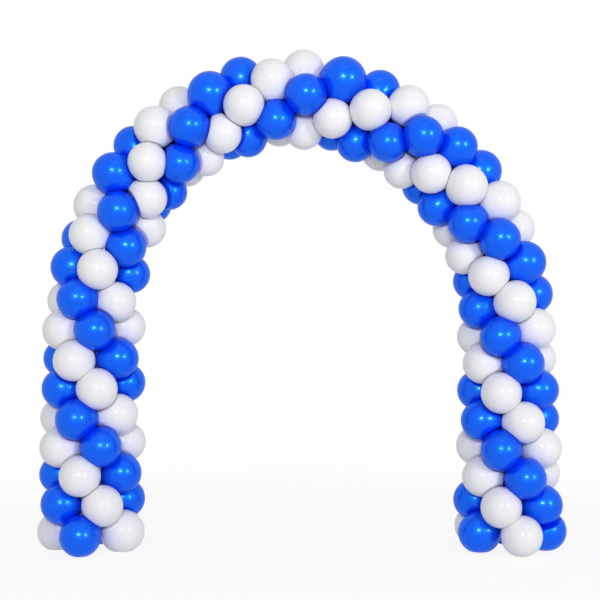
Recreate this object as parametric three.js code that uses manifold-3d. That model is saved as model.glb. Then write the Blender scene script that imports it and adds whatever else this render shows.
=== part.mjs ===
// A balloon arch: pairs of blue balloons crossed with pairs of white ones, packed as a spiral along
// a bent line from the right foot (+X) to the left one (-X). Millimetres, +Z up, front towards -Y.
// The origin is on the ground, midway between the feet.
import Module from 'manifold-3d';
import * as THREE from 'three';
import { ConvexGeometry } from 'three/addons/geometries/ConvexGeometry.js';
import { mergeVertices } from 'three/addons/utils/BufferGeometryUtils.js';

// The line that the balloons are packed along.
const halfSpan = 1200; // from the middle of the arch to the middle of a leg
const bendStart = 1215; // height where a leg starts to bend
const bendRise = 1358; // from there to the top of the line
const topLean = -30; // how far the top leans towards the left foot
const bendReach = 0.02; // share of the line, each way, over which its bend is measured
const footHeight = 108; // from the ground to the middle of a bottom balloon

// The balloons.
const layers = 38;
const balloonRadius = 115;
const cornerShare = 1.03; // how far a faceted balloon's corners stand out, so that its facets even out
const swell = 0.35; // how much a balloon swells outside a bend and shrinks inside it
const gap = 0.3; // between two balloons that press on each other
const neckWide = 28; // radius of the neck inside the balloon's end
const neckDepth = 0.72; // how near a balloon's middle its neck's wide end lies, in radii
const neckThin = 9; // radius of the neck where it is tied
const neckSides = 3;
const knotShift = { blue: 13, white: -13, extra: -40 }; // along the line, so that the pairs cross
const eighthTurn = 45; // degrees that each layer is turned from the one before
const quarterTurn = 90; // degrees between the balloons of one layer
const groundSides = 6; // of a bottom balloon's flat spot
const crowdedY = 60; // how far back the most crowded balloons lie
const yieldShare = 0.7; // the most of a dent that the more crowded balloon of two takes over
const yieldDepth = 60; // the difference in depth at which it takes over that much
const mergeWithin = 1e-3; // corners nearer than this are one corner

// How the packing changes along the line, from the right foot to the left one:
// gap to the next layer, ring radius to the balloons' middles, and turn of the first white balloon
// in degrees from facing front, before the spiral's own turn.
const sections = [
  { layer: 0, next: 160, ring: 202, turn: 17 },
  { layer: 4, next: 161, ring: 187, turn: 27 },
  { layer: 8, next: 177, ring: 171, turn: 17 },
  { layer: 12, next: 173, ring: 173, turn: 14 },
  { layer: 18, next: 176, ring: 175, turn: 4 },
  { layer: 24, next: 161, ring: 168, turn: 4 },
  { layer: 30, next: 172, ring: 174, turn: -21 },
  { layer: 37, next: 159, ring: 198, turn: -36 },
];

// The four balloons of a layer, each a quarter turn on from the one before.
const places = [
  { place: 0, colour: 'white' },
  { place: 1, colour: 'blue' },
  { place: 2, colour: 'white' },
  { place: 3, colour: 'blue' },
];

// Balloons that were pushed out of line as the layers were packed: along the line towards the left
// foot, away from the middle of the arch, towards the back, and how much larger the radius is.
const pushed = [
  { layer: 0, place: 0, along: 0, away: -12, back: 0, larger: 0 },
  { layer: 0, place: 1, along: 0, away: 20, back: -75, larger: 0 },
  { layer: 0, place: 2, along: 0, away: -120, back: -30, larger: 0 },
  { layer: 0, place: 3, along: 0, away: 14, back: 0, larger: 4 },
  { layer: 1, place: 0, along: 0, away: 16, back: 0, larger: 0 },
  { layer: 1, place: 3, along: 6, away: -16, back: 0, larger: 0 },
  { layer: 2, place: 0, along: 0, away: 20, back: 0, larger: 0 },
  { layer: 2, place: 2, along: 0, away: 12, back: 0, larger: 0 },
  { layer: 4, place: 2, along: -6, away: -18, back: 0, larger: 0 },
  { layer: 4, place: 3, along: -6, away: 28, back: 0, larger: -4 },
  { layer: 5, place: 3, along: 10, away: -7, back: 0, larger: 0 },
  { layer: 6, place: 0, along: 14, away: 8, back: 0, larger: 0 },
  { layer: 6, place: 2, along: -6, away: 14, back: 0, larger: 0 },
  { layer: 7, place: 0, along: 20, away: -10, back: 0, larger: 0 },
  { layer: 7, place: 2, along: -20, away: -12, back: 0, larger: 0 },
  { layer: 7, place: 3, along: -16, away: 12, back: 0, larger: 0 },
  { layer: 8, place: 0, along: 0, away: -12, back: 0, larger: 0 },
  { layer: 8, place: 1, along: 27, away: 10, back: 0, larger: -3 },
  { layer: 8, place: 3, along: -12, away: 0, back: 0, larger: 0 },
  { layer: 9, place: 1, along: 18, away: 0, back: 0, larger: 0 },
  { layer: 9, place: 3, along: -12, away: 0, back: 0, larger: 0 },
  { layer: 10, place: 0, along: -12, away: 0, back: 0, larger: -4 },
  { layer: 10, place: 2, along: 23, away: 13, back: 0, larger: -6 },
  { layer: 11, place: 1, along: -10, away: 6, back: 0, larger: 0 },
  { layer: 11, place: 2, along: 6, away: 0, back: 0, larger: -2 },
  { layer: 12, place: 2, along: -4, away: -16, back: 0, larger: 0 },
  { layer: 12, place: 3, along: 20, away: 4, back: 0, larger: 0 },
  { layer: 13, place: 2, along: 10, away: 10, back: 0, larger: 0 },
  { layer: 13, place: 3, along: 18, away: -8, back: 0, larger: -5 },
  { layer: 14, place: 0, along: -4, away: 9, back: 0, larger: -8 },
  { layer: 14, place: 2, along: -12, away: 0, back: 0, larger: -5 },
  { layer: 14, place: 3, along: 14, away: 8, back: 0, larger: 0 },
  { layer: 15, place: 0, along: -7, away: 6, back: 0, larger: -3 },
  { layer: 15, place: 3, along: -10, away: 0, back: 0, larger: 0 },
  { layer: 16, place: 0, along: -10, away: -5, back: 0, larger: 0 },
  { layer: 16, place: 1, along: -16, away: -3, back: 0, larger: -5 },
  { layer: 17, place: 0, along: 10, away: 18, back: 0, larger: 0 },
  { layer: 17, place: 1, along: 0, away: 4, back: 0, larger: 12 },
  { layer: 18, place: 0, along: 7, away: 6, back: 0, larger: 0 },
  { layer: 18, place: 1, along: 7, away: 7, back: 0, larger: 0 },
  { layer: 18, place: 2, along: 36, away: 6, back: 0, larger: 0 },
  { layer: 19, place: 1, along: 14, away: -6, back: 0, larger: 0 },
  { layer: 19, place: 2, along: 14, away: -16, back: 0, larger: 0 },
  { layer: 20, place: 1, along: 40, away: 0, back: 0, larger: 0 },
  { layer: 20, place: 2, along: 12, away: -16, back: 0, larger: 0 },
  { layer: 20, place: 3, along: -10, away: 5, back: 0, larger: 0 },
  { layer: 21, place: 2, along: 18, away: 0, back: 0, larger: -3 },
  { layer: 21, place: 3, along: -10, away: 0, back: 0, larger: 7 },
  { layer: 22, place: 0, along: -11, away: 1, back: 0, larger: -6 },
  { layer: 22, place: 2, along: 20, away: 0, back: 0, larger: -5 },
  { layer: 23, place: 0, along: -18, away: 8, back: 0, larger: 0 },
  { layer: 23, place: 3, along: 12, away: -8, back: 0, larger: 0 },
  { layer: 24, place: 0, along: -22, away: 0, back: 0, larger: -4 },
  { layer: 24, place: 1, along: -37, away: -2, back: 0, larger: -8 },
  { layer: 24, place: 3, along: 26, away: -3, back: 0, larger: -6 },
  { layer: 25, place: 0, along: -16, away: 10, back: 0, larger: 0 },
  { layer: 25, place: 1, along: -24, away: 12, back: 0, larger: 0 },
  { layer: 26, place: 0, along: -9, away: -8, back: 0, larger: 0 },
  { layer: 26, place: 1, along: -24, away: 0, back: 0, larger: 0 },
  { layer: 26, place: 2, along: 12, away: -22, back: 0, larger: 0 },
  { layer: 27, place: 1, along: -12, away: 8, back: 0, larger: 3 },
  { layer: 27, place: 2, along: -6, away: -12, back: 0, larger: -8 },
  { layer: 27, place: 3, along: 38, away: 27, back: 0, larger: -6 },
  { layer: 28, place: 1, along: -18, away: -16, back: 0, larger: 0 },
  { layer: 28, place: 2, along: -4, away: 14, back: 0, larger: 0 },
  { layer: 28, place: 3, along: 24, away: -24, back: 0, larger: 0 },
  { layer: 29, place: 0, along: 36, away: 7, back: 0, larger: -6 },
  { layer: 29, place: 3, along: 12, away: -18, back: 0, larger: -4 },
  { layer: 30, place: 0, along: 16, away: -20, back: 0, larger: 0 },
  { layer: 30, place: 2, along: -8, away: -37, back: 0, larger: 0 },
  { layer: 30, place: 3, along: 8, away: 7, back: 0, larger: 0 },
  { layer: 31, place: 0, along: 10, away: 0, back: 0, larger: 0 },
  { layer: 31, place: 1, along: 5, away: 11, back: 0, larger: -8 },
  { layer: 31, place: 3, along: 4, away: -4, back: 0, larger: 3 },
  { layer: 32, place: 0, along: 0, away: 12, back: 0, larger: 0 },
  { layer: 32, place: 1, along: 0, away: -14, back: 0, larger: 0 },
  { layer: 32, place: 3, along: -20, away: -26, back: 0, larger: 0 },
  { layer: 33, place: 0, along: -18, away: 14, back: 0, larger: 2 },
  { layer: 33, place: 2, along: 10, away: 10, back: 0, larger: 0 },
  { layer: 34, place: 0, along: -10, away: -24, back: 0, larger: 0 },
  { layer: 34, place: 1, along: -9, away: 8, back: 0, larger: 0 },
  { layer: 34, place: 2, along: 0, away: -5, back: 0, larger: 2 },
  { layer: 35, place: 1, along: -11, away: 5, back: 0, larger: 0 },
  { layer: 35, place: 2, along: -12, away: -10, back: 0, larger: 0 },
  { layer: 35, place: 3, along: 6, away: 8, back: 0, larger: -3 },
  { layer: 36, place: 1, along: -6, away: -18, back: 0, larger: 0 },
  { layer: 36, place: 2, along: -4, away: 16, back: 0, larger: 0 },
  { layer: 36, place: 3, along: -8, away: -9, back: 0, larger: 0 },
  { layer: 37, place: 0, along: 12, away: 5, back: 0, larger: 0 },
  { layer: 37, place: 2, along: 0, away: 8, back: 0, larger: 8 },
];

// The right foot has a fifth balloon, squeezed in at its back.
const extra = { layer: 0, colour: 'blue', angle: 176, ring: 190 };

// The corners of a balloon's faceted form: rings around its own axis, from the crown to the neck.
const cornerRings = [
  { fromCrown: 0, corners: 1, start: 0 },
  { fromCrown: 42, corners: 5, start: 0 },
  { fromCrown: 76, corners: 6, start: 20 },
  { fromCrown: 106, corners: 7, start: 0 },
  { fromCrown: 146, corners: 3, start: 30 },
];

const finishes = {
  blue: new THREE.Color(0.02, 0.13, 0.9),
  white: new THREE.Color(0.86, 0.86, 0.9),
};

const radians = THREE.MathUtils.degToRad;
const front = new THREE.Vector3(0, -1, 0);

class ArchLine extends THREE.Curve {
  constructor() {
    super();
    this.arcLengthDivisions = 3000;
  }

  // t runs up the right leg to 1/3, round the bend to 2/3 and down the left leg.
  getPoint(t, target = new THREE.Vector3()) {
    const stage = 3 * t;
    const angle = Math.PI * THREE.MathUtils.clamp(stage - 1, 0, 1);
    const leg = Math.min(stage, 1, 3 - stage);
    const z = bendStart * leg + bendRise * Math.sin(angle);
    const x = halfSpan * Math.cos(angle) + topLean * (z / (bendStart + bendRise)) ** 2;
    return target.set(x, 0, z);
  }
}

// A column of the sections table at any layer.
function between(column, layer) {
  const next = Math.max(1, sections.findIndex((row) => row.layer >= layer));
  const from = sections[next - 1];
  const to = sections[next];
  return THREE.MathUtils.mapLinear(layer, from.layer, to.layer, from[column], to[column]);
}

// Where each layer's middle lies, with its direction along the line and away from the arch's middle.
function layerFrames() {
  const line = new ArchLine();
  const length = line.getLength();
  const steps = Array.from({ length: layers - 1 }, (_, layer) => between('next', layer));
  const total = steps.reduce((sum, step) => sum + step, 0);
  const fit = (length - 2 * footHeight) / total;
  let distance = footHeight;
  return Array.from({ length: layers }, (_, layer) => {
    const share = distance / length;
    const middle = line.getPointAt(share);
    const along = line.getTangentAt(share);
    const away = new THREE.Vector3(along.z, 0, -along.x);
    const before = line.getTangentAt(Math.max(share - bendReach, 0));
    const after = line.getTangentAt(Math.min(share + bendReach, 1));
    const bend = before.angleTo(after) / (2 * bendReach * length);
    distance += (steps[layer] ?? 0) * fit;
    return { middle, along, away, bend };
  });
}

const frames = layerFrames();

// A balloon from its layer, its angle round the line from facing front, and its ring radius.
function balloon(name, colour, layer, angle, ring, shift, push = {}) {
  const { middle, along, away, bend } = frames[layer];
  const outward = front.clone().multiplyScalar(Math.cos(angle)).addScaledVector(away, Math.sin(angle));
  const centre = middle.clone().addScaledVector(outward, ring)
    .addScaledVector(along, push.along ?? 0)
    .addScaledVector(away, push.away ?? 0)
    .addScaledVector(front, -(push.back ?? 0));
  const radius = balloonRadius * (1 + swell * bend * ring * Math.sin(angle)) + (push.larger ?? 0);
  const cornerRadius = cornerShare * radius;
  const knot = middle.clone().addScaledVector(along, shift);
  return { name, colour, layer, centre, outward, along, radius, cornerRadius, knot };
}

// Two layers' pairs of one colour make one solid, named by its colour and its layers.
function nodeName(colour, layer) {
  const first = layer - (layer % 2);
  return `${colour}_pairs_${String(first).padStart(2, '0')}_${String(first + 1).padStart(2, '0')}`;
}

function allBalloons() {
  const found = [];
  for (let layer = 0; layer < layers; layer += 1) {
    for (const { place, colour } of places) {
      const push = pushed.find((row) => row.layer === layer && row.place === place);
      const angle = radians(between('turn', layer) - eighthTurn * layer + quarterTurn * place);
      const ring = between('ring', layer);
      const name = nodeName(colour, layer);
      found.push({ ...balloon(name, colour, layer, angle, ring, knotShift[colour], push), place });
    }
  }
  const { layer, colour, angle, ring } = extra;
  found.push(balloon('blue_foot_single', colour, layer, radians(angle), ring, knotShift.extra));
  return found;
}

// A solid's two layers run into each other at the two balloons that press hardest.
function meetingPair(members) {
  const apart = ([one, other]) => one.centre.distanceTo(other.centre);
  const pairs = members.flatMap((one) => members.map((other) => [one, other]))
    .filter(([one, other]) => one.layer < other.layer);
  return pairs.sort((a, b) => apart(a) - apart(b))[0] ?? [];
}

// How much farther than its half of a dent a balloon reaches: the less crowded one keeps its form.
function keptForm(one, other, apart) {
  const room = (member) => Math.abs(member.centre.y - crowdedY);
  const more = THREE.MathUtils.clamp((room(one) - room(other)) / yieldDepth, -1, 1);
  const dent = Math.max(0, one.radius + other.radius - apart);
  return (yieldShare * more * dent) / 2;
}

// The directions in which a balloon presses on its neighbours, and how far it may reach there.
function pressings(one, all, meeting) {
  const found = [];
  for (const other of all) {
    const apart = one.centre.distanceTo(other.centre);
    if (other === one || apart >= one.cornerRadius + other.cornerRadius) {
      continue;
    }
    const direction = other.centre.clone().sub(one.centre).normalize();
    const even = (apart ** 2 + one.radius ** 2 - other.radius ** 2) / (2 * apart);
    const share = even + keptForm(one, other, apart);
    const meets = meeting.includes(one) && meeting.includes(other);
    found.push({ direction, reach: meets ? one.cornerRadius : share - gap / 2 });
  }
  return found;
}

// A bottom balloon's flat spot on the ground, as a ring of corners.
function groundCorners(one) {
  const flat = Math.sqrt(Math.max(0, one.radius ** 2 - one.centre.z ** 2));
  return Array.from({ length: flat > 0 ? groundSides : 0 }, (_, corner) => {
    const angle = (2 * Math.PI * corner) / groundSides;
    const point = one.centre.clone().setZ(0);
    return point.add(new THREE.Vector3(flat * Math.cos(angle), flat * Math.sin(angle), 0));
  });
}

// The round body of a balloon, flattened where it presses on a neighbour or on the ground.
function bulb(one, all, meeting) {
  const presses = pressings(one, all, meeting);
  const side = new THREE.Vector3().crossVectors(one.along, one.outward);
  const directions = cornerRings.flatMap(({ fromCrown, corners, start }) => {
    const polar = radians(fromCrown);
    return Array.from({ length: corners }, (_, corner) => {
      const around = radians(start + (360 * corner) / corners);
      return one.outward.clone().multiplyScalar(Math.cos(polar))
        .addScaledVector(side, Math.sin(polar) * Math.cos(around))
        .addScaledVector(one.along, Math.sin(polar) * Math.sin(around));
    });
  });
  // The nearest corner is turned to face each neighbour, so that the two meet there.
  for (const { direction } of presses) {
    const nearer = (best, corner) => (corner.dot(direction) > best.dot(direction) ? corner : best);
    directions.reduce(nearer).copy(direction);
  }
  const points = directions.map((direction) => {
    const facing = presses.filter((press) => press.direction.dot(direction) > 0);
    const reaches = facing.map((press) => press.reach / press.direction.dot(direction));
    return one.centre.clone().addScaledVector(direction, Math.min(one.cornerRadius, ...reaches));
  });
  const standing = points.map((point) => point.setZ(Math.max(point.z, 0)));
  return new ConvexGeometry([...standing, ...groundCorners(one)]);
}

// The two necks of a pair, one waisted rod from inside one balloon, through the knot, into the other.
// A lone balloon's rod ends at its knot.
function necks(one, other) {
  const inside = (member) => {
    const share = 1 - (neckDepth * member.radius) / member.centre.distanceTo(member.knot);
    return member.knot.clone().lerp(member.centre, share);
  };
  const from = inside(one);
  const to = other ? inside(other) : one.knot.clone().addScaledVector(one.outward, -neckThin);
  const across = new THREE.Vector3().crossVectors(one.along, one.outward).normalize();
  const rod = new THREE.CylinderGeometry(1, 1, 2, neckSides, 2);
  const corners = rod.attributes.position;
  for (let i = 0; i < corners.count; i += 1) {
    const stage = Math.round(corners.getY(i));
    const middle = [to, one.knot, from][stage + 1];
    const radius = stage === 0 || (stage < 0 && !other) ? neckThin : neckWide;
    const corner = middle.clone()
      .addScaledVector(across, radius * corners.getZ(i))
      .addScaledVector(one.along, radius * corners.getX(i));
    corners.setXYZ(i, corner.x, corner.y, corner.z);
  }
  return rod;
}

const wasm = await Module();
wasm.setup();

function solid(geometry) {
  const bare = geometry.clone();
  bare.deleteAttribute('normal');
  bare.deleteAttribute('uv');
  const merged = mergeVertices(bare, mergeWithin);
  const vertProperties = new Float32Array(merged.attributes.position.array);
  const triVerts = new Uint32Array(merged.index.array);
  return new wasm.Manifold(new wasm.Mesh({ numProp: 3, vertProperties, triVerts }));
}

function geometryOf(body) {
  const { numProp, vertProperties, triVerts } = body.getMesh();
  const positions = new Float32Array((vertProperties.length / numProp) * 3);
  for (let i = 0; i < positions.length / 3; i += 1) {
    positions.set(vertProperties.subarray(i * numProp, i * numProp + 3), i * 3);
  }
  const geometry = new THREE.BufferGeometry();
  geometry.setAttribute('position', new THREE.BufferAttribute(positions, 3));
  geometry.setIndex(new THREE.BufferAttribute(new Uint32Array(triVerts), 1));
  geometry.computeVertexNormals();
  return geometry;
}

const balloons = allBalloons();
const arch = new THREE.Group();
for (const name of new Set(balloons.map((one) => one.name))) {
  const members = balloons.filter((one) => one.name === name);
  const meeting = meetingPair(members);
  const bulbs = members.map((one) => solid(bulb(one, balloons, meeting)));
  const firsts = members.filter((one, at) => one.layer !== members[at - 1]?.layer);
  const rods = firsts.map((one) => {
    const mate = members.find((other) => other !== one && other.layer === one.layer);
    return solid(necks(one, mate));
  });
  const joined = [...bulbs, ...rods].reduce((whole, piece) => whole.add(piece));
  const material = new THREE.MeshStandardMaterial({
    color: finishes[members[0].colour],
    roughness: 0.2,
    metalness: 0,
    flatShading: true,
  });
  const mesh = new THREE.Mesh(geometryOf(joined), material);
  mesh.name = name;
  arch.add(mesh);
}

export default arch;
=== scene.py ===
"""A balloon arch: pairs of blue balloons crossed with pairs of white ones, packed as a spiral.

Every balloon is a round latex skin. Its crown faces out of the packing, its tail tapers to a neck,
and the necks of a pair are tied together on the line that runs through the arch. Where balloons
press on each other, or on the ground, their skins flatten. Lengths are in metres.
"""

import math
from collections import namedtuple

import bpy
import numpy as np
from bpy.props import FloatProperty, FloatVectorProperty, IntProperty, PointerProperty
from bpy.types import Operator, Panel, PropertyGroup
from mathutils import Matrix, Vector


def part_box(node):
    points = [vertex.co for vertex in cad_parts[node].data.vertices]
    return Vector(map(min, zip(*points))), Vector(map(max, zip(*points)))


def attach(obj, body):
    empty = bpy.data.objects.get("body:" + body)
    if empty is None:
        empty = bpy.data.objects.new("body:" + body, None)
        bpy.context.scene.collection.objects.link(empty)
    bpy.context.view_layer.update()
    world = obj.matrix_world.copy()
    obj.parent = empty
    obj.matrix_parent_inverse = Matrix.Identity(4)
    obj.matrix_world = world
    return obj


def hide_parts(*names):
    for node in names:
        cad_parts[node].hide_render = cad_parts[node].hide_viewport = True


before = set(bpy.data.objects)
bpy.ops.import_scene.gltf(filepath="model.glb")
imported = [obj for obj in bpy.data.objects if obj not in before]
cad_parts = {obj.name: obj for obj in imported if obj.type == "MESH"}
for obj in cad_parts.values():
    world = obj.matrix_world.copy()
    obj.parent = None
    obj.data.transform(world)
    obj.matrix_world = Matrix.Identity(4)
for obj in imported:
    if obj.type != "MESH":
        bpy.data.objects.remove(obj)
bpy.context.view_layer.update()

bl_info = {
    "name": "Balloon Arch",
    "version": (1, 0, 0),
    "blender": (4, 5, 0),
    "location": "View3D > Sidebar > Balloon Arch",
    "description": "Builds the balloons of a walk-through arch, with a plain stage to show it on",
    "category": "Add Mesh",
}


# --- How the balloons are packed -------------------------------------------------------------------

# From the right foot to the left one: gap to the next layer, ring radius to the balloons' middles,
# and turn of the first white balloon in degrees from facing front, before the spiral's own turn.
Section = namedtuple("Section", "layer next ring turn")
SECTIONS = (
    Section(layer=0, next=0.160, ring=0.202, turn=17),
    Section(layer=4, next=0.161, ring=0.187, turn=27),
    Section(layer=8, next=0.177, ring=0.171, turn=17),
    Section(layer=12, next=0.173, ring=0.173, turn=14),
    Section(layer=18, next=0.176, ring=0.175, turn=4),
    Section(layer=24, next=0.161, ring=0.168, turn=4),
    Section(layer=30, next=0.172, ring=0.174, turn=-21),
    Section(layer=37, next=0.159, ring=0.198, turn=-36),
)

# The four balloons of a layer, each a quarter turn on from the one before.
COLOURS = ("white", "blue", "white", "blue")
QUARTER_TURN = math.radians(90)
EIGHTH_TURN = math.radians(45)

# Balloons that were pushed out of line: along the line towards the left foot, away from the middle
# of the arch, towards the back, and how much larger the radius is.
Push = namedtuple("Push", "layer place along away back larger")
PUSHED = (
    Push(layer=0, place=0, along=0, away=-0.012, back=0, larger=0),
    Push(layer=0, place=1, along=0, away=0.020, back=-0.075, larger=0),
    Push(layer=0, place=2, along=0, away=-0.120, back=-0.030, larger=0),
    Push(layer=0, place=3, along=0, away=0.014, back=0, larger=0.004),
    Push(layer=1, place=0, along=0, away=0.016, back=0, larger=0),
    Push(layer=1, place=3, along=0.006, away=-0.016, back=0, larger=0),
    Push(layer=2, place=0, along=0, away=0.020, back=0, larger=0),
    Push(layer=2, place=2, along=0, away=0.012, back=0, larger=0),
    Push(layer=4, place=2, along=-0.006, away=-0.018, back=0, larger=0),
    Push(layer=4, place=3, along=-0.006, away=0.028, back=0, larger=-0.004),
    Push(layer=5, place=3, along=0.010, away=-0.007, back=0, larger=0),
    Push(layer=6, place=0, along=0.014, away=0.008, back=0, larger=0),
    Push(layer=6, place=2, along=-0.006, away=0.014, back=0, larger=0),
    Push(layer=7, place=0, along=0.020, away=-0.010, back=0, larger=0),
    Push(layer=7, place=2, along=-0.020, away=-0.012, back=0, larger=0),
    Push(layer=7, place=3, along=-0.016, away=0.012, back=0, larger=0),
    Push(layer=8, place=0, along=0, away=-0.012, back=0, larger=0),
    Push(layer=8, place=1, along=0.027, away=0.010, back=0, larger=-0.003),
    Push(layer=8, place=3, along=-0.012, away=0, back=0, larger=0),
    Push(layer=9, place=1, along=0.018, away=0, back=0, larger=0),
    Push(layer=9, place=3, along=-0.012, away=0, back=0, larger=0),
    Push(layer=10, place=0, along=-0.012, away=0, back=0, larger=-0.004),
    Push(layer=10, place=2, along=0.023, away=0.013, back=0, larger=-0.006),
    Push(layer=11, place=1, along=-0.010, away=0.006, back=0, larger=0),
    Push(layer=11, place=2, along=0.006, away=0, back=0, larger=-0.002),
    Push(layer=12, place=2, along=-0.004, away=-0.016, back=0, larger=0),
    Push(layer=12, place=3, along=0.020, away=0.004, back=0, larger=0),
    Push(layer=13, place=2, along=0.010, away=0.010, back=0, larger=0),
    Push(layer=13, place=3, along=0.018, away=-0.008, back=0, larger=-0.005),
    Push(layer=14, place=0, along=-0.004, away=0.009, back=0, larger=-0.008),
    Push(layer=14, place=2, along=-0.012, away=0, back=0, larger=-0.005),
    Push(layer=14, place=3, along=0.014, away=0.008, back=0, larger=0),
    Push(layer=15, place=0, along=-0.007, away=0.006, back=0, larger=-0.003),
    Push(layer=15, place=3, along=-0.010, away=0, back=0, larger=0),
    Push(layer=16, place=0, along=-0.010, away=-0.005, back=0, larger=0),
    Push(layer=16, place=1, along=-0.016, away=-0.003, back=0, larger=-0.005),
    Push(layer=17, place=0, along=0.010, away=0.018, back=0, larger=0),
    Push(layer=17, place=1, along=0, away=0.004, back=0, larger=0.012),
    Push(layer=18, place=0, along=0.007, away=0.006, back=0, larger=0),
    Push(layer=18, place=1, along=0.007, away=0.007, back=0, larger=0),
    Push(layer=18, place=2, along=0.036, away=0.006, back=0, larger=0),
    Push(layer=19, place=1, along=0.014, away=-0.006, back=0, larger=0),
    Push(layer=19, place=2, along=0.014, away=-0.016, back=0, larger=0),
    Push(layer=20, place=1, along=0.040, away=0, back=0, larger=0),
    Push(layer=20, place=2, along=0.012, away=-0.016, back=0, larger=0),
    Push(layer=20, place=3, along=-0.010, away=0.005, back=0, larger=0),
    Push(layer=21, place=2, along=0.018, away=0, back=0, larger=-0.003),
    Push(layer=21, place=3, along=-0.010, away=0, back=0, larger=0.007),
    Push(layer=22, place=0, along=-0.011, away=0.001, back=0, larger=-0.006),
    Push(layer=22, place=2, along=0.020, away=0, back=0, larger=-0.005),
    Push(layer=23, place=0, along=-0.018, away=0.008, back=0, larger=0),
    Push(layer=23, place=3, along=0.012, away=-0.008, back=0, larger=0),
    Push(layer=24, place=0, along=-0.022, away=0, back=0, larger=-0.004),
    Push(layer=24, place=1, along=-0.037, away=-0.002, back=0, larger=-0.008),
    Push(layer=24, place=3, along=0.026, away=-0.003, back=0, larger=-0.006),
    Push(layer=25, place=0, along=-0.016, away=0.010, back=0, larger=0),
    Push(layer=25, place=1, along=-0.024, away=0.012, back=0, larger=0),
    Push(layer=26, place=0, along=-0.009, away=-0.008, back=0, larger=0),
    Push(layer=26, place=1, along=-0.024, away=0, back=0, larger=0),
    Push(layer=26, place=2, along=0.012, away=-0.022, back=0, larger=0),
    Push(layer=27, place=1, along=-0.012, away=0.008, back=0, larger=0.003),
    Push(layer=27, place=2, along=-0.006, away=-0.012, back=0, larger=-0.008),
    Push(layer=27, place=3, along=0.038, away=0.027, back=0, larger=-0.006),
    Push(layer=28, place=1, along=-0.018, away=-0.016, back=0, larger=0),
    Push(layer=28, place=2, along=-0.004, away=0.014, back=0, larger=0),
    Push(layer=28, place=3, along=0.024, away=-0.024, back=0, larger=0),
    Push(layer=29, place=0, along=0.036, away=0.007, back=0, larger=-0.006),
    Push(layer=29, place=3, along=0.012, away=-0.018, back=0, larger=-0.004),
    Push(layer=30, place=0, along=0.016, away=-0.020, back=0, larger=0),
    Push(layer=30, place=2, along=-0.008, away=-0.037, back=0, larger=0),
    Push(layer=30, place=3, along=0.008, away=0.007, back=0, larger=0),
    Push(layer=31, place=0, along=0.010, away=0, back=0, larger=0),
    Push(layer=31, place=1, along=0.005, away=0.011, back=0, larger=-0.008),
    Push(layer=31, place=3, along=0.004, away=-0.004, back=0, larger=0.003),
    Push(layer=32, place=0, along=0, away=0.012, back=0, larger=0),
    Push(layer=32, place=1, along=0, away=-0.014, back=0, larger=0),
    Push(layer=32, place=3, along=-0.020, away=-0.026, back=0, larger=0),
    Push(layer=33, place=0, along=-0.018, away=0.014, back=0, larger=0.002),
    Push(layer=33, place=2, along=0.010, away=0.010, back=0, larger=0),
    Push(layer=34, place=0, along=-0.010, away=-0.024, back=0, larger=0),
    Push(layer=34, place=1, along=-0.009, away=0.008, back=0, larger=0),
    Push(layer=34, place=2, along=0, away=-0.005, back=0, larger=0.002),
    Push(layer=35, place=1, along=-0.011, away=0.005, back=0, larger=0),
    Push(layer=35, place=2, along=-0.012, away=-0.010, back=0, larger=0),
    Push(layer=35, place=3, along=0.006, away=0.008, back=0, larger=-0.003),
    Push(layer=36, place=1, along=-0.006, away=-0.018, back=0, larger=0),
    Push(layer=36, place=2, along=-0.004, away=0.016, back=0, larger=0),
    Push(layer=36, place=3, along=-0.008, away=-0.009, back=0, larger=0),
    Push(layer=37, place=0, along=0.012, away=0.005, back=0, larger=0),
    Push(layer=37, place=2, along=0, away=0.008, back=0, larger=0.008),
)
NO_PUSH = Push(layer=-1, place=-1, along=0, away=0, back=0, larger=0)

# Which way along the line a pair's knot sits, so that the crossed pairs clear each other.
KNOT_SIDE = {"blue": 1, "white": -1}

FRONT = np.array((0.0, -1.0, 0.0))
DOWN = np.array((0.0, 0.0, -1.0))


class ArchLineSizes(PropertyGroup):
    """The line that the balloons are packed along"""

    half_span: FloatProperty(
        name="Half span", description="From the arch's middle to a leg's middle", default=1.2, unit="LENGTH"
    )
    bend_start: FloatProperty(
        name="Bend start", description="Height where a leg starts to bend", default=1.215, unit="LENGTH"
    )
    bend_rise: FloatProperty(
        name="Bend rise", description="From there to the top of the line", default=1.358, unit="LENGTH"
    )
    top_lean: FloatProperty(
        name="Top lean", description="How far the top leans, against X", default=-0.030, unit="LENGTH"
    )
    bend_reach: FloatProperty(
        name="Bend reach", description="Share of the line over which its bend is measured", default=0.02
    )
    foot_height: FloatProperty(
        name="Foot height", description="To a bottom balloon's middle", default=0.108, unit="LENGTH"
    )
    layers: IntProperty(name="Layers", description="Layers of four balloons", default=38)


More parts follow.
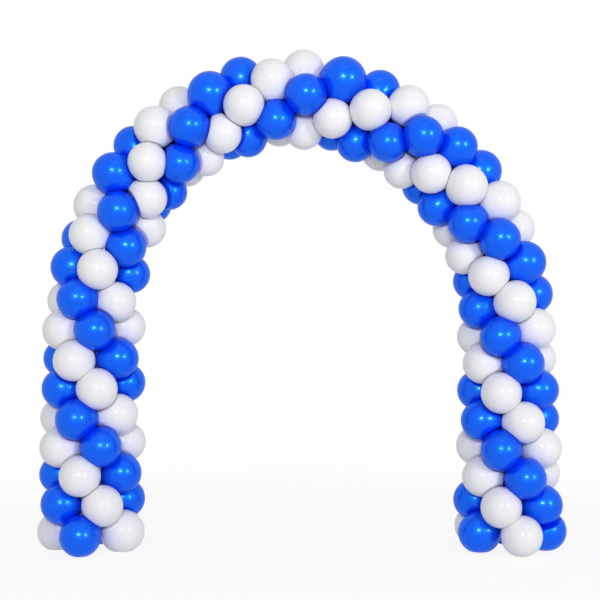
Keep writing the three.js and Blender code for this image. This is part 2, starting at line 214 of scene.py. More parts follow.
class BalloonSizes(PropertyGroup):
    """One balloon and how it is tied"""

    radius: FloatProperty(
        name="Radius", description="Of the round body", default=0.115, unit="LENGTH"
    )
    swell: FloatProperty(
        name="Swell", description="Growth outside a bend, and shrinkage inside it", default=0.35
    )
    gap: FloatProperty(
        name="Gap", description="Between balloons that press on each other", default=0.0006, unit="LENGTH"
    )
    crowded_y: FloatProperty(
        name="Crowded depth", description="How far back the most crowded balloons lie", default=0.060,
        unit="LENGTH",
    )
    yield_share: FloatProperty(
        name="Yield", description="Most of a dent that the more crowded balloon takes over", default=0.7
    )
    yield_depth: FloatProperty(
        name="Yield depth", description="Difference in depth at which it takes that much", default=0.060,
        unit="LENGTH",
    )
    bulge: FloatProperty(
        name="Bulge", description="Most growth towards a neighbour that is just clear", default=0.08
    )
    edge_softness: FloatProperty(
        name="Edge softness", description="Rounding round a flattened spot", default=0.0008, unit="LENGTH"
    )
    unevenness: FloatProperty(
        name="Unevenness", description="How far a balloon is from round, as a share", default=0.022
    )
    knot_shift: FloatProperty(
        name="Knot shift", description="Of a pair's knot along the line", default=0.013, unit="LENGTH"
    )
    neck_radius: FloatProperty(
        name="Neck radius", description="Of the neck above its knot", default=0.0065, unit="LENGTH"
    )
    knot_radius: FloatProperty(
        name="Knot radius", description="Of the knot", default=0.0095, unit="LENGTH"
    )
    around: IntProperty(name="Segments", description="Round a balloon's own axis", default=62)
    seed: IntProperty(name="Seed", description="Of each balloon's own unevenness", default=7)


class FootBalloon(PropertyGroup):
    """The fifth blue balloon of the right foot, squeezed in at its back"""

    angle: FloatProperty(
        name="Angle", description="From facing front", default=math.radians(176), subtype="ANGLE"
    )
    ring: FloatProperty(
        name="Ring", description="From the line to its middle", default=0.190, unit="LENGTH"
    )
    knot_shift: FloatProperty(
        name="Knot shift", description="Of its knot along the line", default=-0.040, unit="LENGTH"
    )


class LatexColours(PropertyGroup):
    """The colours and gloss of the stretched latex"""

    blue: FloatVectorProperty(
        name="Blue", description="Where the skin is thin", subtype="COLOR", size=4,
        default=(0.0003, 0.046, 0.93, 1.0), min=0.0, max=1.0,
    )
    blue_dense: FloatVectorProperty(
        name="Dense blue", description="Where it is thick, at crown and neck", subtype="COLOR", size=4,
        default=(0.0003, 0.029, 0.63, 1.0), min=0.0, max=1.0,
    )
    white: FloatVectorProperty(
        name="White", description="Where the skin is thin", subtype="COLOR", size=4,
        default=(0.87, 0.87, 0.895, 1.0), min=0.0, max=1.0,
    )
    white_dense: FloatVectorProperty(
        name="Dense white", description="Where it is thick, at crown and neck", subtype="COLOR", size=4,
        default=(0.92, 0.91, 0.90, 1.0), min=0.0, max=1.0,
    )
    blue_gloss: FloatVectorProperty(
        name="Blue gloss", description="Tint of the light that blue latex reflects", subtype="COLOR",
        size=4, default=(0.008, 0.32, 1.0, 1.0), min=0.0, max=1.0,
    )
    white_gloss: FloatVectorProperty(
        name="White gloss", description="Tint of the light that white latex reflects", subtype="COLOR",
        size=4, default=(1.0, 1.0, 1.0, 1.0), min=0.0, max=1.0,
    )


class StageSizes(PropertyGroup):
    """The floor and the camera"""

    floor_half: FloatProperty(
        name="Floor half side", description="Half a side of the floor", default=60.0, unit="LENGTH"
    )
    camera_distance: FloatProperty(
        name="Camera distance", description="From the arch's middle plane", default=7.476, unit="LENGTH"
    )
    camera_height: FloatProperty(
        name="Camera height", description="Above the floor", default=1.478, unit="LENGTH"
    )
    camera_aside: FloatProperty(
        name="Camera aside", description="From the arch's middle, along X", default=0.0986, unit="LENGTH"
    )
    lens: FloatProperty(name="Lens", description="Focal length in millimetres", default=78.0)
    ambient: FloatProperty(name="Ambient", description="Strength of the room's light", default=0.47)
    white_share: FloatProperty(
        name="White share", description="How white the floor looks round the arch's feet", default=0.88
    )


# --- The line, its layers and the balloons on it ----------------------------------------------------

Layer = namedtuple("Layer", "middle along away bend")
Balloon = namedtuple("Balloon", "name colour layer place centre outward along radius knot")
Pressing = namedtuple("Pressing", "direction reach bulge")


def unit(vector):
    """The vector at length 1"""
    return vector / np.linalg.norm(vector)


class ArchLine:
    """The line up the right leg, round the bend and down the left leg, read by share of its length"""

    divisions = 6000

    def __init__(self, sizes):
        stage = np.linspace(0.0, 3.0, self.divisions + 1)
        angle = np.pi * np.clip(stage - 1, 0, 1)
        leg = np.minimum(np.minimum(stage, 1), 3 - stage)
        height = sizes.bend_start * leg + sizes.bend_rise * np.sin(angle)
        lean = sizes.top_lean * (height / (sizes.bend_start + sizes.bend_rise)) ** 2
        self.points = np.stack([sizes.half_span * np.cos(angle) + lean, 0 * height, height], axis=1)
        steps = np.linalg.norm(np.diff(self.points, axis=0), axis=1)
        self.distances = np.concatenate([[0], np.cumsum(steps)])
        self.length = self.distances[-1]

    def point(self, share):
        """The point at that share of the length"""
        distance = np.clip(share, 0, 1) * self.length
        return np.array([np.interp(distance, self.distances, column) for column in self.points.T])

    def direction(self, share):
        """The line's direction at that share of the length"""
        nearby = 2 / self.divisions
        return unit(self.point(share + nearby) - self.point(share - nearby))


def between(column, layer):
    """A column of the sections at any layer"""
    layers = [section.layer for section in SECTIONS]
    return float(np.interp(layer, layers, [getattr(section, column) for section in SECTIONS]))


def layer_frames(sizes):
    """Where each layer's middle lies, with its directions and how sharply the line bends there"""
    line = ArchLine(sizes)
    steps = np.array([between("next", layer) for layer in range(sizes.layers - 1)])
    fit = (line.length - 2 * sizes.foot_height) / steps.sum()
    distances = sizes.foot_height + fit * np.concatenate([[0], np.cumsum(steps)])
    found = []
    for distance in distances:
        share = distance / line.length
        along = line.direction(share)
        away = np.array((along[2], 0.0, -along[0]))
        before = line.direction(max(share - sizes.bend_reach, 0))
        after = line.direction(min(share + sizes.bend_reach, 1))
        turned = math.acos(min(1.0, float(before @ after)))
        bend = turned / (2 * sizes.bend_reach * line.length)
        found.append(Layer(line.point(share), along, away, bend))
    return found


def balloon_at(layer_frame, name, colour, layer, place, angle, ring, shift, push, sizes):
    """A balloon from its angle round the line, its ring radius and its knot's shift"""
    away = layer_frame.away
    along = layer_frame.along
    outward = FRONT * math.cos(angle) + away * math.sin(angle)
    centre = layer_frame.middle + outward * ring + along * push.along + away * push.away - FRONT * push.back
    swelling = sizes.swell * layer_frame.bend * ring * math.sin(angle)
    radius = sizes.radius * (1 + swelling) + push.larger
    knot = layer_frame.middle + along * shift
    return Balloon(name, colour, layer, place, centre, outward, along, radius, knot)


def all_balloons(scene):
    """Every balloon of the arch, by the name of the pair that it belongs to"""
    sizes = scene.balloon_arch_balloon
    foot = scene.balloon_arch_foot
    frames = layer_frames(scene.balloon_arch_line)
    pushes = {(push.layer, push.place): push for push in PUSHED}
    found = []
    for layer, layer_frame in enumerate(frames):
        for place, colour in enumerate(COLOURS):
            turn = math.radians(between("turn", layer))
            angle = turn - EIGHTH_TURN * layer + QUARTER_TURN * place
            shift = KNOT_SIDE[colour] * sizes.knot_shift
            push = pushes.get((layer, place), NO_PUSH)
            ring = between("ring", layer)
            name = f"{colour}_pair_{layer:02d}"
            found.append(
                balloon_at(layer_frame, name, colour, layer, place, angle, ring, shift, push, sizes)
            )
    found.append(
        balloon_at(
            frames[0], "blue_foot_balloon", "blue", 0, len(COLOURS),
            foot.angle, foot.ring, foot.knot_shift, NO_PUSH, sizes,
        )
    )
    return found


def node_of(balloon):
    """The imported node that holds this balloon"""
    if balloon.place == len(COLOURS):
        return "blue_foot_single"
    first = balloon.layer - balloon.layer % 2
    return f"{balloon.colour}_pairs_{first:02d}_{first + 1:02d}"


def check_places(balloons, slack=0.006, knot_room=0.028):
    """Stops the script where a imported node's box leaves out a balloon's middle or holds more than them"""
    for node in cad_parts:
        members = [one for one in balloons if node_of(one) == node]
        low, high = (np.array(corner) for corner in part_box(node))
        centres = np.array([one.centre for one in members])
        reaches = [(one.centre - one.radius, one.centre + one.radius) for one in members]
        reaches += [(one.knot - knot_room, one.knot + knot_room) for one in members]
        lows, highs = np.swapaxes(reaches, 0, 1)
        outside = max((low - centres).max(), (centres - high).max())
        beyond = max((lows.min(axis=0) - low).max(), (high - highs.max(axis=0)).max())
        if outside > 0 or beyond > slack:
            raise RuntimeError(f"the balloons of {node} aren't where its box is, by {beyond:.4f} m")


# --- The shape of a balloon --------------------------------------------------------------------------

# Rings of the skin: from the crown to where the tail starts, down the tail, and over neck and knot.
CROWN_RINGS = 27
TAIL_RINGS = 8
TAIL_START = math.radians(137)
FULLER_FROM = math.radians(78)
TAIL_FULLNESS = 0.07
TAIL_HANDLE = 0.36
NECK_HANDLE = 0.22

# The neck and its knot: how far each ring is from the tied end, and how much of the neck's radius and
# of the knot's radius go into its own.
NeckRing = namedtuple("NeckRing", "from_end neck knot")
NECK_RINGS = (
    NeckRing(from_end=0.0245, neck=1.0, knot=0.0),
    NeckRing(from_end=0.0195, neck=0.80, knot=0.0),
    NeckRing(from_end=0.0165, neck=0.15, knot=0.62),
    NeckRing(from_end=0.0130, neck=0.0, knot=0.96),
    NeckRing(from_end=0.0095, neck=0.0, knot=1.0),
    NeckRing(from_end=0.0055, neck=0.0, knot=0.90),
    NeckRing(from_end=0.0025, neck=0.0, knot=0.58),
    NeckRing(from_end=0.0010, neck=0.0, knot=0.20),
)
NECK_END = 0.0008  # where the skin closes
KNOT_MIDDLE = 0.0095

# The open lip that is left past the knot: distance from the knot's middle, and radius.
LipRing = namedtuple("LipRing", "out radius")
LIP_RINGS = (
    LipRing(out=0.0040, radius=0.0048),
    LipRing(out=0.0095, radius=0.0046),
    LipRing(out=0.0150, radius=0.0058),
    LipRing(out=0.0200, radius=0.0080),
    LipRing(out=0.0216, radius=0.0094),
    LipRing(out=0.0232, radius=0.0098),
    LipRing(out=0.0242, radius=0.0088),
    LipRing(out=0.0234, radius=0.0074),
    LipRing(out=0.0190, radius=0.0056),
    LipRing(out=0.0140, radius=0.0034),
)
LIP_AROUND = 14
LIP_TILT = 0.35

# A balloon bulges towards a neighbour whose share of the way is this near its radius, or farther, and
# the bulge dies away to its sides as fast as its tightness says.
BULGE_FROM = 0.975
BULGE_TIGHTNESS = 7.0

# Points this near to the rim of a flattened spot are moved onto it, apart from one that faces the
# neighbour straight on. The skin turns sharply where it turns by more than the rim's angle.
RIM_NEARNESS = 0.0058
STRAIGHT_ON = 0.9999
RIM_ANGLE = math.radians(15)

# A point that faces away from a neighbour is read as facing it this little, and so isn't pressed. A
# balloon is pressed by the ground when it is this near, in softnesses of its edges.
LEAST_FACING = 0.05
GROUND_NEARNESS = 4

# Where the latex is dense: a small spot at the crown, as an angle from it, and the tail, in radii
# behind the balloon's middle. Each balloon takes its streaks from its own part of a wide pattern.
CROWN_DENSITY = 0.45
CROWN_SPOT = 0.10
DENSE_FROM = 0.75
DENSE_OVER = 0.45
PATTERN_WIDTH = 20

Skin = namedtuple("Skin", "points faces dense place")


def bezier(points, stage):
    """A cubic curve through four control points, at those stages"""
    rest = 1 - stage
    weights = np.stack([rest**3, 3 * rest**2 * stage, 3 * rest * stage**2, stage**3], axis=1)
    return weights @ np.array(points)


def skin_profile(radius, to_knot, sizes):
    """The balloon's outline from crown to knot: distance along its axis from its middle, and radius"""
    polar = np.linspace(0, TAIL_START, CROWN_RINGS + 1)[1:]
    stage = np.clip((polar - FULLER_FROM) / (TAIL_START - FULLER_FROM), 0, 1)
    fuller = 1 + TAIL_FULLNESS * stage**2 * (3 - 2 * stage)
    body = radius * fuller[:, None] * np.stack([np.cos(polar), np.sin(polar)], axis=1)
    neck = np.array([
        (-to_knot + ring.from_end, ring.neck * sizes.neck_radius + ring.knot * sizes.knot_radius)
        for ring in NECK_RINGS
    ])
    shoulder = body[-1]
    slope = np.array((-math.sin(TAIL_START), math.cos(TAIL_START)))
    controls = (
        shoulder,
        shoulder + slope * radius * TAIL_HANDLE,
        neck[0] + np.array((radius * NECK_HANDLE, 0.0)),
        neck[0],
    )
    tail = bezier(controls, np.linspace(0, 1, TAIL_RINGS + 2)[1:-1])
    return np.concatenate([body, tail, neck])


def lathe(outline, ends, around):
    """Rings of points round an axis, with a point at each end: (x, y, along the axis), and the faces"""
    turn = np.linspace(0, 2 * np.pi, around, endpoint=False)
    rings = [
        np.stack([radius * np.cos(turn), radius * np.sin(turn), np.full(around, out)], axis=1)
        for out, radius in outline
    ]
    points = np.concatenate([[(0.0, 0.0, ends[0])], *rings, [(0.0, 0.0, ends[1])]])
    last = len(points) - 1
    step = np.arange(around)
    onward = (step + 1) % around
    faces = [(0, 1 + a, 1 + b) for a, b in zip(step, onward)]
    for ring in range(len(outline) - 1):
        this = 1 + ring * around
        below = this + around
        faces += [(this + a, below + a, below + b, this + b) for a, b in zip(step, onward)]
    bottom = last - around
    faces += [(bottom + a, last, bottom + b) for a, b in zip(step, onward)]
    return points, faces


def kept_form(one, other, distance, sizes):
    """How much farther than its half of a dent a balloon reaches: the less crowded one keeps its form"""
    rooms = [abs(balloon.centre[1] - sizes.crowded_y) for balloon in (one, other)]
    more = min(max((rooms[0] - rooms[1]) / sizes.yield_depth, -1.0), 1.0)
    dent = max(one.radius + other.radius - distance, 0.0)
    return sizes.yield_share * more * dent / 2


def pressings(one, balloons, sizes):
    """Where a balloon presses on others or on the ground, or bulges towards one that is just clear"""
    found = []
    for other in balloons:
        apart = other.centre - one.centre
        distance = np.linalg.norm(apart)
        if other is one or distance > (one.radius + other.radius) * (1 + sizes.bulge):
            continue
        even = (distance**2 + one.radius**2 - other.radius**2) / (2 * distance)
        share = even + kept_form(one, other, distance, sizes)
        bulge = min(max(share / one.radius - BULGE_FROM, 0.0), sizes.bulge)
        found.append(Pressing(apart / distance, share - sizes.gap / 2, bulge))
    if one.centre[2] < one.radius + GROUND_NEARNESS * sizes.edge_softness:
        found.append(Pressing(DOWN, one.centre[2], 0.0))
    return found


def onto_rims(offsets, presses):
    """The points next to the rim of a flattened spot turned onto it, so that the rim comes out clean"""
    far = np.linalg.norm(offsets, axis=1)
    ways = offsets / far[:, None]
    turned = ways.copy()
    nearest = np.full(len(ways), RIM_NEARNESS)
    for pressing in presses:
        facing = np.clip(ways @ pressing.direction, -1, 1)
        rim = np.arccos(np.clip(pressing.reach / far, -1, 1))
        off = np.abs(np.arccos(facing) - rim) * far
        near = (pressing.reach < far) & (off < nearest) & (facing < STRAIGHT_ON)
        aside = ways[near] - facing[near, None] * pressing.direction
        aside /= np.linalg.norm(aside, axis=1)[:, None]
        rim = rim[near, None]
        turned[near] = np.cos(rim) * pressing.direction + np.sin(rim) * aside
        nearest[near] = off[near]
    return turned * far[:, None]


def press(offsets, presses, softness):
    """The points, given from the balloon's middle, moved out where it bulges and in where it is pressed"""
    far = np.linalg.norm(offsets, axis=1)
    facings = [(offsets @ pressing.direction) / far for pressing in presses]
    bulged = far.copy()
    for pressing, facing in zip(presses, facings):
        bulged += far * pressing.bulge * np.exp((facing - 1) * BULGE_TIGHTNESS)
    reaches = [bulged]
    for pressing, facing in zip(presses, facings):
        reaches.append(pressing.reach / np.maximum(facing, LEAST_FACING))
    reaches = np.stack(reaches)
    least = reaches.min(axis=0)
    soft = least - softness * np.log(np.exp((least - reaches) / softness).sum(axis=0))
    return offsets * (soft / far)[:, None]


def split_outward(faces, offsets):
    """The four-sided faces cut in two along the diagonal that lies farther out, as on a full form"""
    whole = [face for face in faces if len(face) == 3]
    quads = np.array([face for face in faces if len(face) == 4])
    first, second, third, fourth = (offsets[corner] for corner in quads.T)
    one_way = quads[:, [[0, 1, 2], [0, 2, 3]]]
    other_way = quads[:, [[0, 1, 3], [1, 2, 3]]]
    farther = np.linalg.norm(first + third, axis=1) >= np.linalg.norm(second + fourth, axis=1)
    halves = np.where(farther[:, None, None], one_way, other_way)
    return whole + [tuple(half) for half in halves.reshape(-1, 3).tolist()]


def uneven(offsets, amount, random):
    """The points stretched a little along a direction of their own"""
    stretch = unit(random.normal(size=3))
    share = amount * random.uniform(-1, 1)
    facing = (offsets @ stretch) / np.linalg.norm(offsets, axis=1)
    return offsets * (1 + share * (facing**2 - 1 / 3))[:, None]


def balloon_skin(one, balloons, sizes):
    """One balloon's skin, with its knot"""
    random = np.random.default_rng((sizes.seed, one.layer, one.place))
    axis = unit(one.centre - one.knot)
    side = unit(np.cross(one.along, axis))
    up = np.cross(axis, side)
    turned = random.uniform(0, 2 * np.pi)
    across = side * math.cos(turned) + up * math.sin(turned)
    other = np.cross(axis, across)
    to_knot = np.linalg.norm(one.centre - one.knot)
    outline = skin_profile(one.radius, to_knot, sizes)
    local, faces = lathe(outline, (one.radius, -to_knot + NECK_END), sizes.around)
    offsets = local @ np.stack([across, other, axis])
    body = local[:, 2] > -one.radius
    offsets[body] = uneven(offsets[body], sizes.unevenness, random)
    presses = pressings(one, balloons, sizes)
    offsets[body] = onto_rims(offsets[body], presses)
    offsets = press(offsets, presses, sizes.edge_softness)
    far = np.linalg.norm(local, axis=1)
    polar = np.arccos(np.clip(local[:, 2] / far, -1, 1))
    crown = CROWN_DENSITY * np.exp(-((polar / CROWN_SPOT) ** 2))
    tail = np.clip((-local[:, 2] / one.radius - DENSE_FROM) / DENSE_OVER, 0, 1)
    place = local / one.radius + random.uniform(0, PATTERN_WIDTH, size=3)
    return Skin(offsets + one.centre, split_outward(faces, offsets), np.maximum(crown, tail), place)


def knot_lip(one, way):
    """The open lip past a balloon's knot, bent aside to that way"""
    axis = unit(one.centre - one.knot)
    side = way * unit(np.cross(one.along, axis))
    out = unit(side + axis * LIP_TILT)
    across = unit(np.cross(out, one.along))
    local, faces = lathe(LIP_RINGS, (0.0, LIP_RINGS[-1].out), LIP_AROUND)
    knot = one.knot + axis * KNOT_MIDDLE
    # Its rings run the other way from a skin's, so it is turned the other way round as well.
    points = knot + local @ np.stack([across, np.cross(across, out), out])
    return Skin(points, faces, np.ones(len(points)), local / one.radius)


def make_piece(name, skins, material):
    """One mesh object of several skins, with their density and their own places as attributes"""
    points = np.concatenate([skin.points for skin in skins])
    faces = []
    first = 0
    for skin in skins:
        faces += [tuple(first + corner for corner in face) for face in skin.faces]
        first += len(skin.points)
    mesh = bpy.data.meshes.new(name)
    mesh.from_pydata(points.tolist(), [], faces)
    dense = mesh.attributes.new("dense", "FLOAT", "POINT")
    dense.data.foreach_set("value", np.concatenate([skin.dense for skin in skins]))
    place = mesh.attributes.new("place", "FLOAT_VECTOR", "POINT")
    place.data.foreach_set("vector", np.concatenate([skin.place for skin in skins]).ravel())
    mesh.polygons.foreach_set("use_smooth", np.full(len(mesh.polygons), True))
    mesh.update()
    mesh.set_sharp_from_angle(angle=RIM_ANGLE)
    mesh.materials.append(material)
    piece = bpy.data.objects.new(name, mesh)
    bpy.context.scene.collection.objects.link(piece)
    return piece


def make_balloons(scene, name, members, balloons, material):
    """The piece of a pair of balloons or of a single one, which takes its node's place"""
    sizes = scene.balloon_arch_balloon
    skins = [balloon_skin(one, balloons, sizes) for one in members]
    skins += [knot_lip(one, 1 - 2 * (order % 2)) for order, one in enumerate(members)]
    piece = make_piece(name, skins, material)
    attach(piece, "root")
    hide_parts(node_of(members[0]))
    return piece


# --- The latex ---------------------------------------------------------------------------------------


def add_node(tree, kind, **settings):
    """A new node, with its properties set"""
    node = tree.nodes.new(kind)
    for key, value in settings.items():
        setattr(node, key, value)
    return node


# How each latex shines: strength and roughness of its own gloss, and of the clear gloss over it.
Gloss = namedtuple("Gloss", "ior level roughness coat coat_roughness")
GLOSSES = {
    "blue": Gloss(ior=2.3, level=1.0, roughness=0.33, coat=0.25, coat_roughness=0.09),
    "white": Gloss(ior=1.5, level=0.17, roughness=0.22, coat=0.0, coat_roughness=0.09),
}
ROUGHNESS_SPREAD = 0.03  # each way, from cloud to cloud
CLOUD_RANGE = (0.3, 0.7)  # what the clouds' pattern runs between, for the most part

# The patterns in the latex, on a balloon of radius 1: how fine each is, and how detailed.
Pattern = namedtuple("Pattern", "scale detail")
STREAKS = Pattern(scale=9.0, detail=3.0)
CLOUDS = Pattern(scale=1.6, detail=2.0)
GRAIN = Pattern(scale=42.0, detail=2.0)
STREAK_STRETCH = 0.18  # scale along the balloon's axis
STREAK_DENSITY = 0.10
CLOUD_DENSITY = 0.22
GRAIN_STRENGTH = 0.06
GRAIN_HEIGHT = 0.0008


def add_pattern(tree, pattern, place):
    """A noise texture read at that place"""
    noise = add_node(tree, "ShaderNodeTexNoise")
    noise.inputs["Scale"].default_value = pattern.scale
    noise.inputs["Detail"].default_value = pattern.detail
    tree.links.new(place, noise.inputs["Vector"])
    return noise


def latex_material(colour_name, thin, thick, gloss_tint):
    """Stretched latex: denser colour at crown and neck, faint streaks down its length, soft gloss"""
    gloss = GLOSSES[colour_name]
    material = bpy.data.materials.new(f"{colour_name}_latex")
    material.use_nodes = True
    tree = material.node_tree
    shader = tree.nodes["Principled BSDF"]
    shader.inputs["IOR"].default_value = gloss.ior
    shader.inputs["Specular IOR Level"].default_value = gloss.level
    shader.inputs["Coat Weight"].default_value = gloss.coat
    shader.inputs["Coat Roughness"].default_value = gloss.coat_roughness
    shader.inputs["Specular Tint"].default_value = gloss_tint

    place = add_node(tree, "ShaderNodeAttribute", attribute_name="place")
    dense = add_node(tree, "ShaderNodeAttribute", attribute_name="dense")

    # Streaks run from crown to neck, so the pattern is drawn out along the balloon's axis.
    drawn_out = add_node(tree, "ShaderNodeMapping")
    drawn_out.inputs["Scale"].default_value = (1.0, 1.0, STREAK_STRETCH)
    tree.links.new(place.outputs["Vector"], drawn_out.inputs["Vector"])
    streaks = add_pattern(tree, STREAKS, drawn_out.outputs["Vector"])
    clouds = add_pattern(tree, CLOUDS, place.outputs["Vector"])

    thickness = add_node(tree, "ShaderNodeMath", operation="MULTIPLY_ADD")
    thickness.inputs[1].default_value = STREAK_DENSITY
    tree.links.new(streaks.outputs["Fac"], thickness.inputs[0])
    tree.links.new(dense.outputs["Fac"], thickness.inputs[2])
    more = add_node(tree, "ShaderNodeMath", operation="MULTIPLY_ADD", use_clamp=True)
    more.inputs[1].default_value = CLOUD_DENSITY
    tree.links.new(clouds.outputs["Fac"], more.inputs[0])
    tree.links.new(thickness.outputs["Value"], more.inputs[2])

    colour = add_node(tree, "ShaderNodeMix", data_type="RGBA")
    colour.inputs["A"].default_value = thin
    colour.inputs["B"].default_value = thick
    tree.links.new(more.outputs["Value"], colour.inputs["Factor"])
    tree.links.new(colour.outputs["Result"], shader.inputs["Base Color"])

    dullness = add_node(tree, "ShaderNodeMapRange")
    dullness.inputs["From Min"].default_value = CLOUD_RANGE[0]
    dullness.inputs["From Max"].default_value = CLOUD_RANGE[1]
    dullness.inputs["To Min"].default_value = gloss.roughness - ROUGHNESS_SPREAD
    dullness.inputs["To Max"].default_value = gloss.roughness + ROUGHNESS_SPREAD
    tree.links.new(clouds.outputs["Fac"], dullness.inputs["Value"])
    tree.links.new(dullness.outputs["Result"], shader.inputs["Roughness"])

    # The skin's faint grain.
    grain = add_pattern(tree, GRAIN, place.outputs["Vector"])
    bump = add_node(tree, "ShaderNodeBump")
    bump.inputs["Strength"].default_value = GRAIN_STRENGTH
    bump.inputs["Distance"].default_value = GRAIN_HEIGHT
    tree.links.new(grain.outputs["Fac"], bump.inputs["Height"])
    tree.links.new(bump.outputs["Normal"], shader.inputs["Normal"])
    return material


# --- The stage ---------------------------------------------------------------------------------------

# Soft lamps, whose reflections are the balloons' highlights: where each stands, its size and strength.
Lamp = namedtuple("Lamp", "name place width height watts")
LAMPS = (
    Lamp(name="front_lamp", place=(-0.2, -13.9, 5.2), width=3.1, height=2.0, watts=635),
    Lamp(name="side_lamp", place=(12.0, -13.1, 5.2), width=2.2, height=3.0, watts=700),
    Lamp(name="top_lamp", place=(0.75, -5.1, 10.1), width=4.5, height=1.05, watts=20),
)
LAMP_TARGET = Vector((0.0, 0.0, 1.45))

PLAIN_WHITE = (1.0, 1.0, 1.0, 1.0)
FLOOR_COLOUR = (0.88, 0.88, 0.88, 1.0)
FLOOR_ROUGHNESS = 0.9
FADE_FROM = 1.6  # from the arch's middle, where the floor starts to fade to plain white
FADE_TO = 5.0  # and where it has
SENSOR_WIDTH = 36.0  # millimetres
SHIFT_UP = -0.0133  # share of the picture
SIGHT = 400.0  # how far the camera sees


def paper_white(tree, lit, out):
    """Shows what the camera, gloss and glass see as white: returns the sockets for its share and look"""
    rays = add_node(tree, "ShaderNodeLightPath")
    seen = add_node(tree, "ShaderNodeMath", operation="MAXIMUM")
    tree.links.new(rays.outputs["Is Camera Ray"], seen.inputs[0])
    tree.links.new(rays.outputs["Is Glossy Ray"], seen.inputs[1])
    through = add_node(tree, "ShaderNodeMath", operation="MAXIMUM")
    tree.links.new(seen.outputs["Value"], through.inputs[0])
    tree.links.new(rays.outputs["Is Transmission Ray"], through.inputs[1])
    share = add_node(tree, "ShaderNodeMath", operation="MULTIPLY")
    share.inputs[1].default_value = 1.0
    tree.links.new(through.outputs["Value"], share.inputs[0])
    mix = add_node(tree, "ShaderNodeMixShader")
    tree.links.new(share.outputs["Value"], mix.inputs["Fac"])
    tree.links.new(lit, mix.inputs[1])
    tree.links.new(mix.outputs["Shader"], out)
    return share.inputs[1], mix.inputs[2]


def make_world(scene, ambient):
    """A plain white room"""
    world = bpy.data.worlds.new("studio")
    world.use_nodes = True
    tree = world.node_tree
    room = tree.nodes["Background"]
    room.inputs["Color"].default_value = PLAIN_WHITE
    room.inputs["Strength"].default_value = ambient
    out = tree.nodes["World Output"]
    white = add_node(tree, "ShaderNodeBackground")
    white.inputs["Color"].default_value = PLAIN_WHITE
    white.inputs["Strength"].default_value = 1.0
    _, look = paper_white(tree, room.outputs["Background"], out.inputs["Surface"])
    tree.links.new(white.outputs["Background"], look)
    scene.world = world


def make_floor(scene, half, white_share):
    """A pale floor, which looks white but keeps some of the arch's shadow"""
    corners = [(-half, -half, 0.0), (half, -half, 0.0), (half, half, 0.0), (-half, half, 0.0)]
    mesh = bpy.data.meshes.new("floor")
    mesh.from_pydata(corners, [], [(0, 1, 2, 3)])
    material = bpy.data.materials.new("pale_floor")
    material.use_nodes = True
    tree = material.node_tree
    shader = tree.nodes["Principled BSDF"]
    shader.inputs["Roughness"].default_value = FLOOR_ROUGHNESS
    shader.inputs["Specular IOR Level"].default_value = 0.0
    rays = add_node(tree, "ShaderNodeLightPath")
    colour = add_node(tree, "ShaderNodeMix", data_type="RGBA")
    colour.inputs["A"].default_value = FLOOR_COLOUR
    colour.inputs["B"].default_value = PLAIN_WHITE
    tree.links.new(rays.outputs["Is Camera Ray"], colour.inputs["Factor"])
    tree.links.new(colour.outputs["Result"], shader.inputs["Base Color"])
    out = tree.nodes["Material Output"]
    white = add_node(tree, "ShaderNodeEmission")
    share, look = paper_white(tree, shader.outputs["BSDF"], out.inputs["Surface"])
    tree.links.new(white.outputs["Emission"], look)

    # The shadow is kept round the arch, and the floor fades to plain white further out.
    place = add_node(tree, "ShaderNodeTexCoord")
    far = add_node(tree, "ShaderNodeVectorMath", operation="LENGTH")
    fade = add_node(tree, "ShaderNodeMapRange", interpolation_type="SMOOTHSTEP")
    fade.inputs["From Min"].default_value = FADE_FROM
    fade.inputs["From Max"].default_value = FADE_TO
    fade.inputs["To Min"].default_value = white_share
    fade.inputs["To Max"].default_value = 1.0
    tree.links.new(place.outputs["Object"], far.inputs["Vector"])
    tree.links.new(far.outputs["Value"], fade.inputs["Value"])
    tree.links.new(fade.outputs["Result"], share)
    mesh.materials.append(material)
    floor = bpy.data.objects.new("floor", mesh)
    scene.collection.objects.link(floor)


def make_lamp(scene, lamp):
    """A soft lamp that the camera doesn't see"""
    data = bpy.data.lights.new(lamp.name, "AREA")
    data.shape = "RECTANGLE"
    data.size = lamp.width
    data.size_y = lamp.height
    data.energy = lamp.watts
    holder = bpy.data.objects.new(lamp.name, data)
    holder.location = lamp.place
    holder.rotation_euler = (LAMP_TARGET - Vector(lamp.place)).to_track_quat("-Z", "Y").to_euler()
    holder.visible_camera = False
    scene.collection.objects.link(holder)


def make_camera(scene, sizes):
    """The camera, level, in front of the arch"""
    data = bpy.data.cameras.new("front_camera")
    data.lens = sizes.lens
    data.sensor_width = SENSOR_WIDTH
    data.shift_x = -sizes.camera_aside / sizes.camera_distance * sizes.lens / SENSOR_WIDTH
    data.shift_y = SHIFT_UP
    data.clip_end = SIGHT
    camera = bpy.data.objects.new("front_camera", data)
    camera.location = (sizes.camera_aside, -sizes.camera_distance, sizes.camera_height)
    camera.rotation_euler = (math.radians(90), 0.0, 0.0)
    scene.collection.objects.link(camera)
    scene.camera = camera


# --- Operators ---------------------------------------------------------------------------------------


def make_pairs(scene, colour, thin, thick, gloss_tint):
    """Every pair of one colour, each as its own piece"""
    balloons = all_balloons(scene)
    check_places(balloons)
    material = latex_material(colour, thin, thick, gloss_tint)
    for name in sorted({one.name for one in balloons if one.name.startswith(f"{colour}_pair")}):
        members = [one for one in balloons if one.name == name]
        make_balloons(scene, name, members, balloons, material)


class BALLOONARCH_OT_blue_pairs(Operator):
    """Make the blue pairs, tied neck to neck"""

    bl_idname = "balloon_arch.blue_pairs"
    bl_label = "Blue Pairs"

    def execute(self, context):
        look = context.scene.balloon_arch_latex
        make_pairs(context.scene, "blue", look.blue, look.blue_dense, look.blue_gloss)
        return {"FINISHED"}


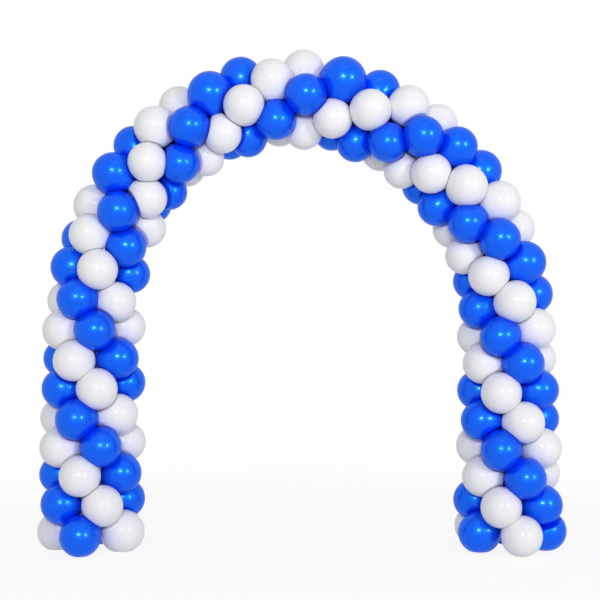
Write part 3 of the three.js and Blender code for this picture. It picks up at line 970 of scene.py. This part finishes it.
class BALLOONARCH_OT_white_pairs(Operator):
    """Make the white pairs, crossed with the blue ones"""

    bl_idname = "balloon_arch.white_pairs"
    bl_label = "White Pairs"

    def execute(self, context):
        look = context.scene.balloon_arch_latex
        make_pairs(context.scene, "white", look.white, look.white_dense, look.white_gloss)
        return {"FINISHED"}


class BALLOONARCH_OT_foot_balloon(Operator):
    """Make the single blue balloon that is squeezed into the right foot"""

    bl_idname = "balloon_arch.foot_balloon"
    bl_label = "Foot Balloon"

    def execute(self, context):
        scene = context.scene
        balloons = all_balloons(scene)
        single = balloons[-1]
        make_balloons(scene, single.name, [single], balloons, bpy.data.materials["blue_latex"])
        return {"FINISHED"}


class BALLOONARCH_OT_stage(Operator):
    """Make the floor, the room's light, the lamps and the camera"""

    bl_idname = "balloon_arch.stage"
    bl_label = "Stage"

    def execute(self, context):
        scene = context.scene
        sizes = scene.balloon_arch_stage
        scene.view_settings.view_transform = "Standard"
        make_world(scene, sizes.ambient)
        make_floor(scene, sizes.floor_half, sizes.white_share)
        for lamp in LAMPS:
            make_lamp(scene, lamp)
        make_camera(scene, sizes)
        return {"FINISHED"}


class BALLOONARCH_PT_panel(Panel):
    """The arch's sizes and colours, and a button for each group of pieces"""

    bl_label = "Balloon Arch"
    bl_idname = "BALLOONARCH_PT_panel"
    bl_space_type = "VIEW_3D"
    bl_region_type = "UI"
    bl_category = "Balloon Arch"

    def draw(self, context):
        for group in SETTINGS:
            column = self.layout.column(align=True)
            for key in SETTINGS[group].__annotations__:
                column.prop(getattr(context.scene, group), key)
        for operator in OPERATORS:
            self.layout.operator(operator.bl_idname)


SETTINGS = {
    "balloon_arch_line": ArchLineSizes,
    "balloon_arch_balloon": BalloonSizes,
    "balloon_arch_foot": FootBalloon,
    "balloon_arch_latex": LatexColours,
    "balloon_arch_stage": StageSizes,
}
OPERATORS = (
    BALLOONARCH_OT_stage,
    BALLOONARCH_OT_blue_pairs,
    BALLOONARCH_OT_white_pairs,
    BALLOONARCH_OT_foot_balloon,
)


def register():
    for group, settings in SETTINGS.items():
        bpy.utils.register_class(settings)
        setattr(bpy.types.Scene, group, PointerProperty(type=settings))
    for operator in OPERATORS:
        bpy.utils.register_class(operator)
    bpy.utils.register_class(BALLOONARCH_PT_panel)


def unregister():
    bpy.utils.unregister_class(BALLOONARCH_PT_panel)
    for operator in reversed(OPERATORS):
        bpy.utils.unregister_class(operator)
    for group, settings in reversed(list(SETTINGS.items())):
        delattr(bpy.types.Scene, group)
        bpy.utils.unregister_class(settings)


def main():
    register()
    bpy.ops.balloon_arch.stage()
    bpy.ops.balloon_arch.blue_pairs()
    bpy.ops.balloon_arch.white_pairs()
    bpy.ops.balloon_arch.foot_balloon()


if __name__ == "__main__":
    main()
